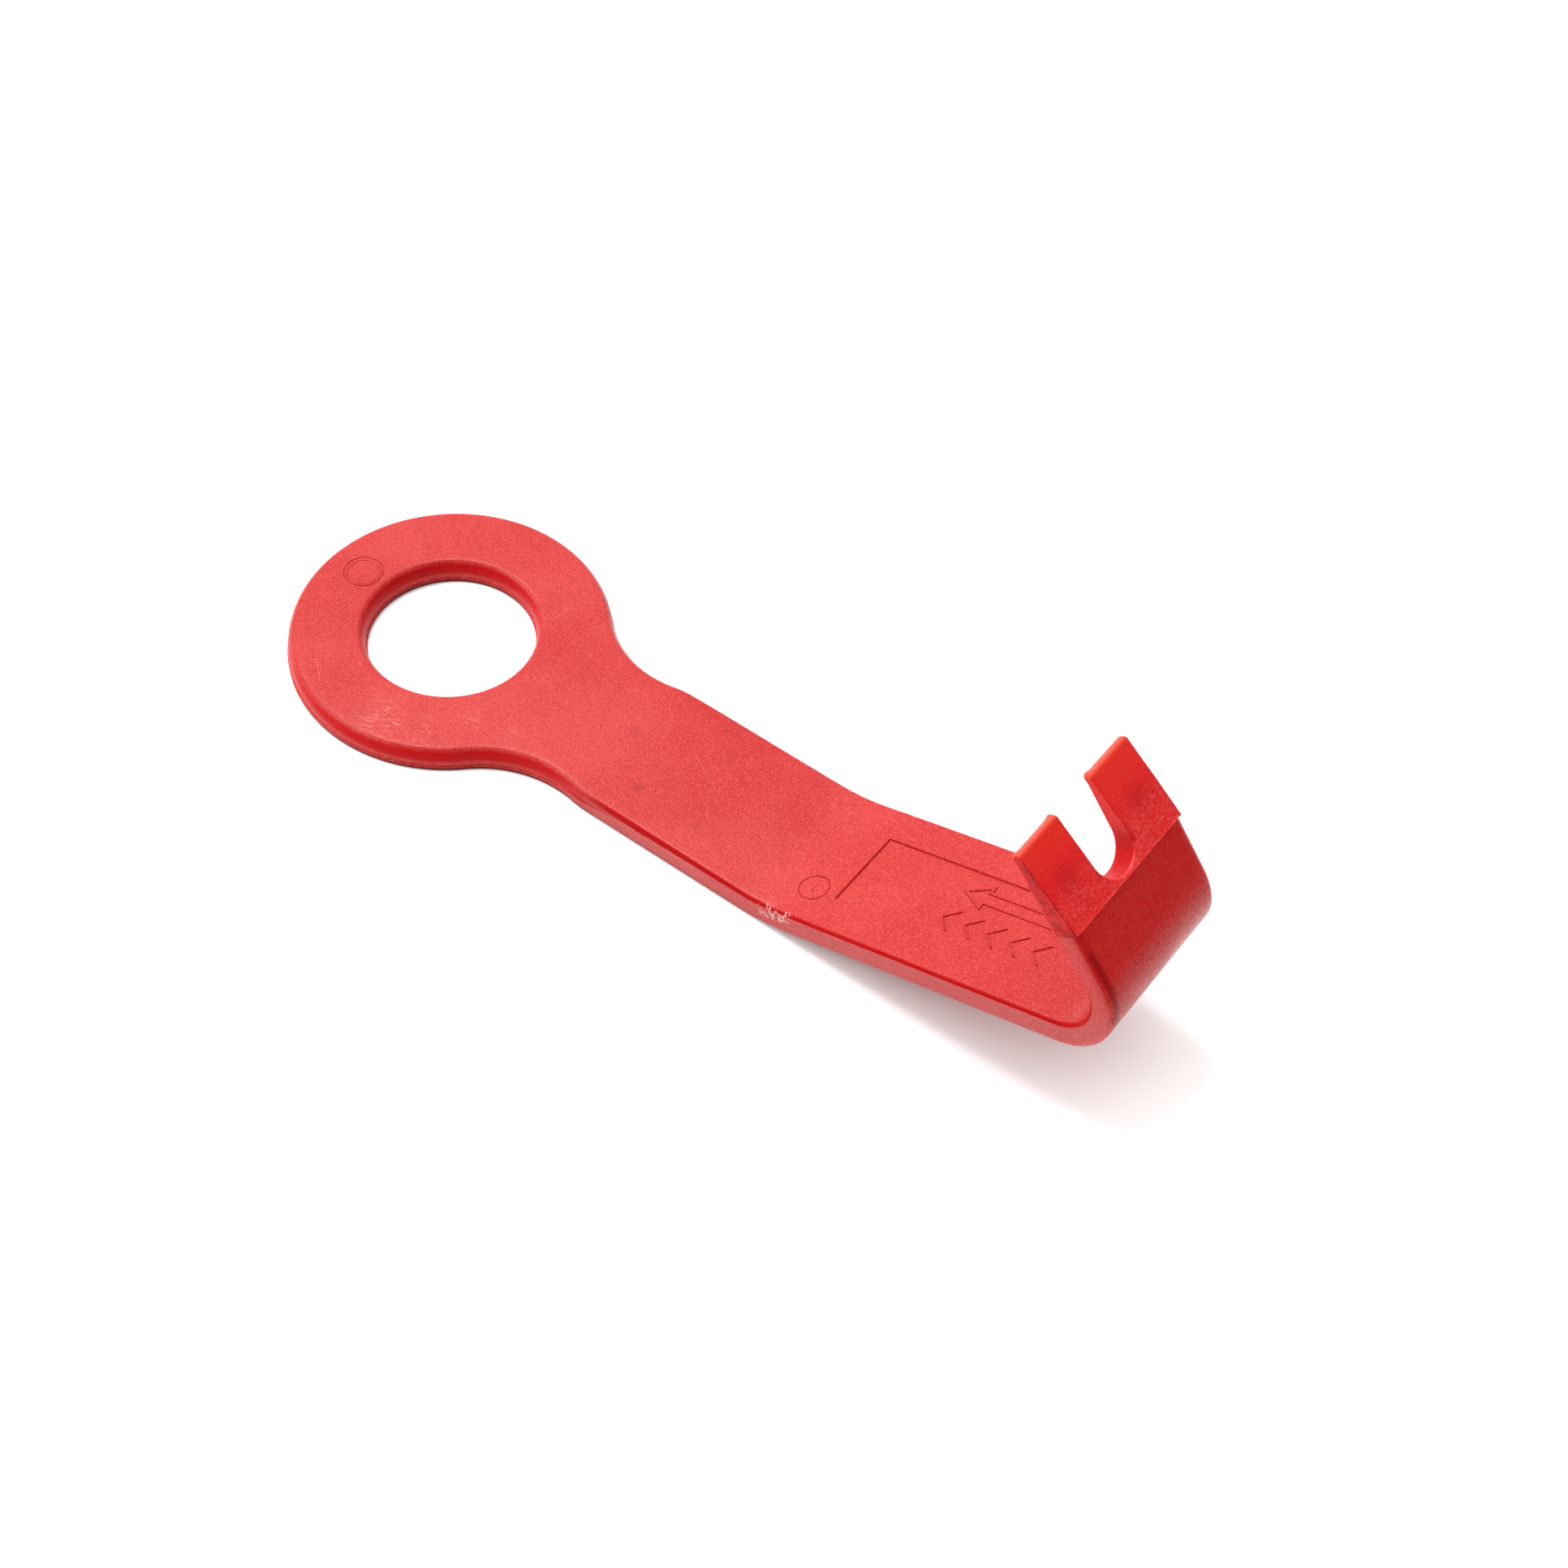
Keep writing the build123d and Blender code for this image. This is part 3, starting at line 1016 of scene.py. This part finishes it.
def hook_tones(n):
    """The shank has painted shade, a deeper red standing in for its missing sheen where it
    faces away from the light, and less gloss. The heel's outer side has a painted pale
    sheen low down, and a streak of painted shade follows the shank's near edge."""
    # Painted shade: a deeper red on the shank, which faces away from the light
    shank = n.step(n.s, S_HEEL + 6.0, S_SHANK + 2.0)
    n.tint(shank, n.step(n.fine, 0.4, 0.66, 0.85, 0.35), SHANK_PAINTED_SHADE)
    n.gloss = n.step(n.s, S_HEEL + 5.0, S_SHANK + 1.0, GLOSS, SHANK_GLOSS)
    # Painted sheen: a pale, grainy reflection low on the heel's outer side
    heel = n.step(n.s, S_HEEL - 3.0, S_HEEL + 5.0)
    heel = n.both(heel, n.step(n.s, S_SHANK + 3.0, S_HEEL + 5.0), n.step(n.h, 1.2, 0.2))
    n.tint(n.both(heel, n.step(n.noise(0.6, 3.0, 0.7), 0.4, 0.62)), 0.9, HEEL_PAINTED_SHEEN)
    # Painted shade: a dark streak along the shank's near rounded edge
    edge = n.line((S_HEEL + 2.0, -13.5), (S_SHANK + 9.0, -13.8), 0.85)
    n.tint(n.both(edge, n.step(n.h, 1.2, 0.4)), 0.85, SHANK_EDGE_PAINTED_SHADE)


def rim_painted_light(n):
    """The ring's rounded rim has painted shade, a saturated red for its dark reflection,
    and a paler painted reflection of the floor low down. The lower edge of the ring and
    the handle has a painted shadow where it meets the table."""
    # Painted shade: a saturated red on the ring's rounded rim
    rim = n.both(n.step(n.h, 4.25, 3.6), n.step(n.s, 50.0, 38.0))
    n.tint(rim, 0.85, RIM_PAINTED_SHADE)
    n.dull(rim, 0.25)
    # Painted reflection: a paler, grainy red low on the rim, standing in for the floor's
    # reflection
    reflection_grain = n.step(n.noise(0.5, 2.0, 0.7), 0.35, 0.65, 0.4, 1.0)
    n.tint(n.both(n.step(n.h, 2.3, 1.5), rim, reflection_grain), 0.6, RIM_PAINTED_REFLECTION)
    # Painted shadow: a dark line low on the edge of the ring and the handle where they meet
    # the table
    contact_shadow_mask = n.both(n.step(n.h, 0.8, 0.35), n.step(n.h, 0.0, 0.05))
    n.tint(n.both(contact_shadow_mask, n.step(n.s, S_ARM, S_ELBOW - 6.0)), 0.85, PAINTED_CONTACT_SHADOW)


def edge_tones(n):
    """The strap's matt band below the parting line, rougher and painted paler as a painted
    reflection of the floor, and painted shade on the smooth step above it.
    """
    on_strap = n.step(n.s, 40.0, 50.0)
    over_parting = n.math("SUBTRACT", n.h, n.step(n.s, 46.0, S_ARM, 3.3, 3.78))
    # The band is rougher, and painted paler as a painted reflection of the floor
    matt_band_with_reflection = n.both(n.step(n.off_middle, 14.62, 14.86), on_strap)
    matt_band_with_reflection = n.both(matt_band_with_reflection, n.step(over_parting, 0.06, -0.02))
    reflection_grain = n.step(n.noise(0.45, 2.0, 0.7), 0.35, 0.65, 0.55, 1.0)
    n.tint(n.both(matt_band_with_reflection, reflection_grain), 0.5, BAND_PAINTED_REFLECTION)
    n.rough = n.math("ADD", n.rough, n.both(matt_band_with_reflection, 0.2))
    # Painted shade: a dark red line on the smooth step along the strap's upper edge
    step = n.both(n.step(n.off_middle, 14.0, 14.25), on_strap)
    step = n.both(step, n.step(over_parting, 0.05, 0.12), n.step(n.h, 4.46, 4.36))
    n.tint(step, 0.9, STEP_PAINTED_SHADE)
    n.dull(step, 0.2)


def panel_tones(n, upper):
    """Painted shade on the walls of the panel and its marks, and painted shade lines along
    the panel's edges, a little darker than the plastic round them.
    """
    painted_shade_wall = n.both(n.step(n.h, 4.26, 4.29), n.step(n.h, 4.47, 4.42))
    painted_shade_wall = n.both(painted_shade_wall, n.step(n.off_middle, 13.0, 12.5), n.step(n.s, S_ARM - 2, S_ARM - 1))
    left = S_ARM - ELBOW_TANGENT + PANEL_START
    right = S_HEEL - PANEL_HEEL_GAP - PANEL_CUT
    edge = PANEL_HALF - 0.1
    # Painted shade lines along the panel's near, far and left edges
    near_shade_line = n.line((left - 4, -edge), (right, -edge), 0.24)
    far_shade_line = n.line((left - 4, edge), (right + 6, edge), 0.34)
    left_shade_line = n.line((left + 0.1, -edge - 1.6), (left + 0.1, edge + 1.6), 0.34)
    dotted = n.step(n.noise(0.6, 1.0, 0.5), 0.4, 0.55, 0.3, 0.8)
    shade_lines = n.most(n.both(near_shade_line, dotted), n.both(n.most(far_shade_line, left_shade_line), 0.8))
    within = n.step(n.off_middle, PANEL_HALF + 0.3, PANEL_HALF)
    within = n.both(n.step(n.s, left - 0.3, left), within, upper)
    n.tint(n.most(painted_shade_wall, n.both(shade_lines, within)), 0.7, RECESS_PAINTED_SHADE)


def gouge(n):
    """Torn pale plastic in the nick on the near edge by the elbow."""
    place = n.both(n.step(n.s, 80.6, 81.6), n.step(n.s, 87.6, 86.4))
    place = n.both(place, n.step(n.y, -13.9, -14.4), n.step(n.h, 1.6, 2.4))
    threads = n.math("ABSOLUTE", n.math("SUBTRACT", n.noise(1.5, 2.0, 0.6), 0.5))
    n.tint(n.both(n.step(threads, 0.05, 0.015), place), 0.85, TORN)


def body_plastic():
    n = plastic("body_plastic", BODY_REDS, BODY_ROUGHNESS, BODY_GRAIN)
    upper = n.step(n.h, 4.0, 4.3)
    wear(n, upper)
    hook_tones(n)
    rim_painted_light(n)
    edge_tones(n)
    panel_tones(n, upper)
    gouge(n)
    return finish(n)


def fork_plastic():
    """The fork is thin, so it lets more light through at its edges and tips. This glow is
    painted into its colour, as a painted glow at the thin end and tips and painted shade
    where the prongs are thick.
    """
    n = plastic("fork_plastic", FORK_REDS, FORK_ROUGHNESS, FORK_GRAIN)
    # Painted glow: brighter red towards the thin tips, and orange at the very tips
    n.tint(n.step(n.s, S_TIP - 8.5, S_TIP - 0.5), 0.6, THIN_PAINTED_GLOW)
    n.tint(n.step(n.s, S_TIP - 0.9, S_TIP - 0.3), 0.8, TIP_PAINTED_GLOW)
    # Painted shade: darker where the prongs are thick and let less light through
    thick_shade = [n.spot(S_TIP - 8.2, y, 4.2, 1.0) for y in (-PRONG_Y, PRONG_Y)]
    n.tint(n.most(*thick_shade), 0.5, THICK_PAINTED_SHADE)

    # Coarse pale speckle towards the shank
    coarse = n.noise(0.5, 2.0, 0.7)
    low = n.step(n.s, S_TIP - 7.0, S_TIP - 11.0)
    n.tint(n.both(n.step(coarse, 0.45, 0.7), low), 0.45, SPECKLE)

    # Painted shade on the slot's wall, darker towards its root, and the prongs' rough outer
    # sides
    below_top = n.step(n.h, 4.3, 3.9)
    painted_shade_wall = n.both(n.step(n.s, S_TIP - 8.5, S_TIP - 13.0), below_top, n.step(n.h, 0.3, 0.7))
    painted_shade_wall = n.both(painted_shade_wall, n.step(n.off_middle, 5.2, 4.9))
    n.tint(painted_shade_wall, 0.8, SLOT_PAINTED_SHADE)
    side = n.both(n.step(n.off_middle, 14.6, 14.8), below_top)
    n.tint(side, n.step(n.noise(1.3, 3.0, 0.7), 0.42, 0.58, 0.35, 1.0), FORK_SIDE)
    n.dull(n.most(painted_shade_wall, side), 0.25)
    n.normal = n.bump(coarse, 0.08, 0.5, n.normal)
    return finish(n)


pieces = build_zones()
body = body_plastic()
fork = fork_plastic()
for name, piece in pieces.items():
    piece.data.materials.append(fork if name == "fork" else body)
    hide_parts(name)
    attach(piece, "root")


# ---- Floor, light and camera ----

FLOOR_HALF = 1.5
FLOOR_BELOW = 0.0002
FLOOR_WHITE = 0.92
LAMP_TARGET = (0.07, 0.0, 0.01)
LAMP_DISTANCE = 0.9
SKY_AXIS = (-0.52, 0.36, 0.78)
SKY_LOW = 0.22
SKY_HIGH = 1.95
BACKDROP = 1.0
CAMERA_AZIMUTH = math.radians(34.146)
CAMERA_ELEVATION = math.radians(51.582)
CAMERA_ROLL = math.radians(3.325)
CAMERA_TARGET = (71.345, 4.777, 10.0)
CAMERA_DISTANCE = 473.88
CAMERA_LENS = 63.67


def floor():
    mesh = bpy.data.meshes.new("floor")
    half = FLOOR_HALF
    corners = [(-half, -half, 0), (half, -half, 0), (half, half, 0), (-half, half, 0)]
    mesh.from_pydata(corners, [], [(0, 1, 2, 3)])
    plane = bpy.data.objects.new("floor", mesh)
    plane.location.z = -FLOOR_BELOW
    bpy.context.collection.objects.link(plane)
    paper = bpy.data.materials.new("paper")
    paper.use_nodes = True
    shader = paper.node_tree.nodes["Principled BSDF"]
    shader.inputs["Base Color"].default_value = (FLOOR_WHITE, FLOOR_WHITE, FLOOR_WHITE, 1)
    shader.inputs["Roughness"].default_value = 0.9
    shader.inputs["Specular IOR Level"].default_value = 0.2
    plane.data.materials.append(paper)


def softbox(name, direction, width, height, power):
    """A rectangular light that faces the object from this direction."""
    light = bpy.data.lights.new(name, "AREA")
    light.shape = "RECTANGLE"
    light.size = width
    light.size_y = height
    light.energy = power
    lamp = bpy.data.objects.new(name, light)
    away = Vector(direction).normalized()
    lamp.location = Vector(LAMP_TARGET) + away * LAMP_DISTANCE
    lamp.rotation_euler = away.to_track_quat("Z", "Y").to_euler()
    bpy.context.collection.objects.link(lamp)


def world():
    """A broad soft light from above on the ring's side, dark low down, and a pale
    backdrop."""
    surroundings = bpy.data.worlds.new("studio")
    surroundings.use_nodes = True
    tree = surroundings.node_tree
    background = tree.nodes["Background"]
    background.inputs["Color"].default_value = (1, 1, 1, 1)
    direction = tree.nodes.new("ShaderNodeTexCoord")
    toward = tree.nodes.new("ShaderNodeVectorMath")
    toward.operation = "DOT_PRODUCT"
    toward.inputs[1].default_value = Vector(SKY_AXIS).normalized()
    fade = tree.nodes.new("ShaderNodeMapRange")
    fade.interpolation_type = "SMOOTHSTEP"
    fade.inputs["From Min"].default_value = 0.0
    fade.inputs["From Max"].default_value = 0.85
    fade.inputs["To Min"].default_value = SKY_LOW
    fade.inputs["To Max"].default_value = SKY_HIGH
    path = tree.nodes.new("ShaderNodeLightPath")
    choose = tree.nodes.new("ShaderNodeMix")
    choose.inputs[3].default_value = BACKDROP
    tree.links.new(direction.outputs["Generated"], toward.inputs[0])
    tree.links.new(toward.outputs["Value"], fade.inputs["Value"])
    tree.links.new(fade.outputs["Result"], choose.inputs[2])
    tree.links.new(path.outputs["Is Camera Ray"], choose.inputs[0])
    tree.links.new(choose.outputs[0], background.inputs["Strength"])
    bpy.context.scene.world = surroundings


def camera():
    back = Vector((
        math.sin(CAMERA_AZIMUTH) * math.cos(CAMERA_ELEVATION),
        -math.cos(CAMERA_AZIMUTH) * math.cos(CAMERA_ELEVATION),
        math.sin(CAMERA_ELEVATION),
    ))
    level_right = Vector((math.cos(CAMERA_AZIMUTH), math.sin(CAMERA_AZIMUTH), 0))
    level_up = back.cross(level_right)
    right = math.cos(CAMERA_ROLL) * level_right + math.sin(CAMERA_ROLL) * level_up
    up = back.cross(right)
    lens = bpy.data.cameras.new("camera")
    lens.lens = CAMERA_LENS
    lens.sensor_width = 36
    lens.clip_start = 0.01
    lens.dof.use_dof = False
    viewer = bpy.data.objects.new("camera", lens)
    turn = Matrix((right, up, back)).transposed()
    place = Vector(CAMERA_TARGET) * MM + back * CAMERA_DISTANCE * MM
    viewer.matrix_world = Matrix.Translation(place) @ turn.to_4x4()
    bpy.context.collection.objects.link(viewer)
    bpy.context.scene.camera = viewer


floor()
world()
softbox("overhead", (-0.42, 0.06, 0.91), 0.4, 0.4, 6.8)
softbox("fill", (-0.60, -0.62, 0.50), 0.5, 0.4, 3.0)
camera()
bpy.context.scene.view_settings.view_transform = "Standard"
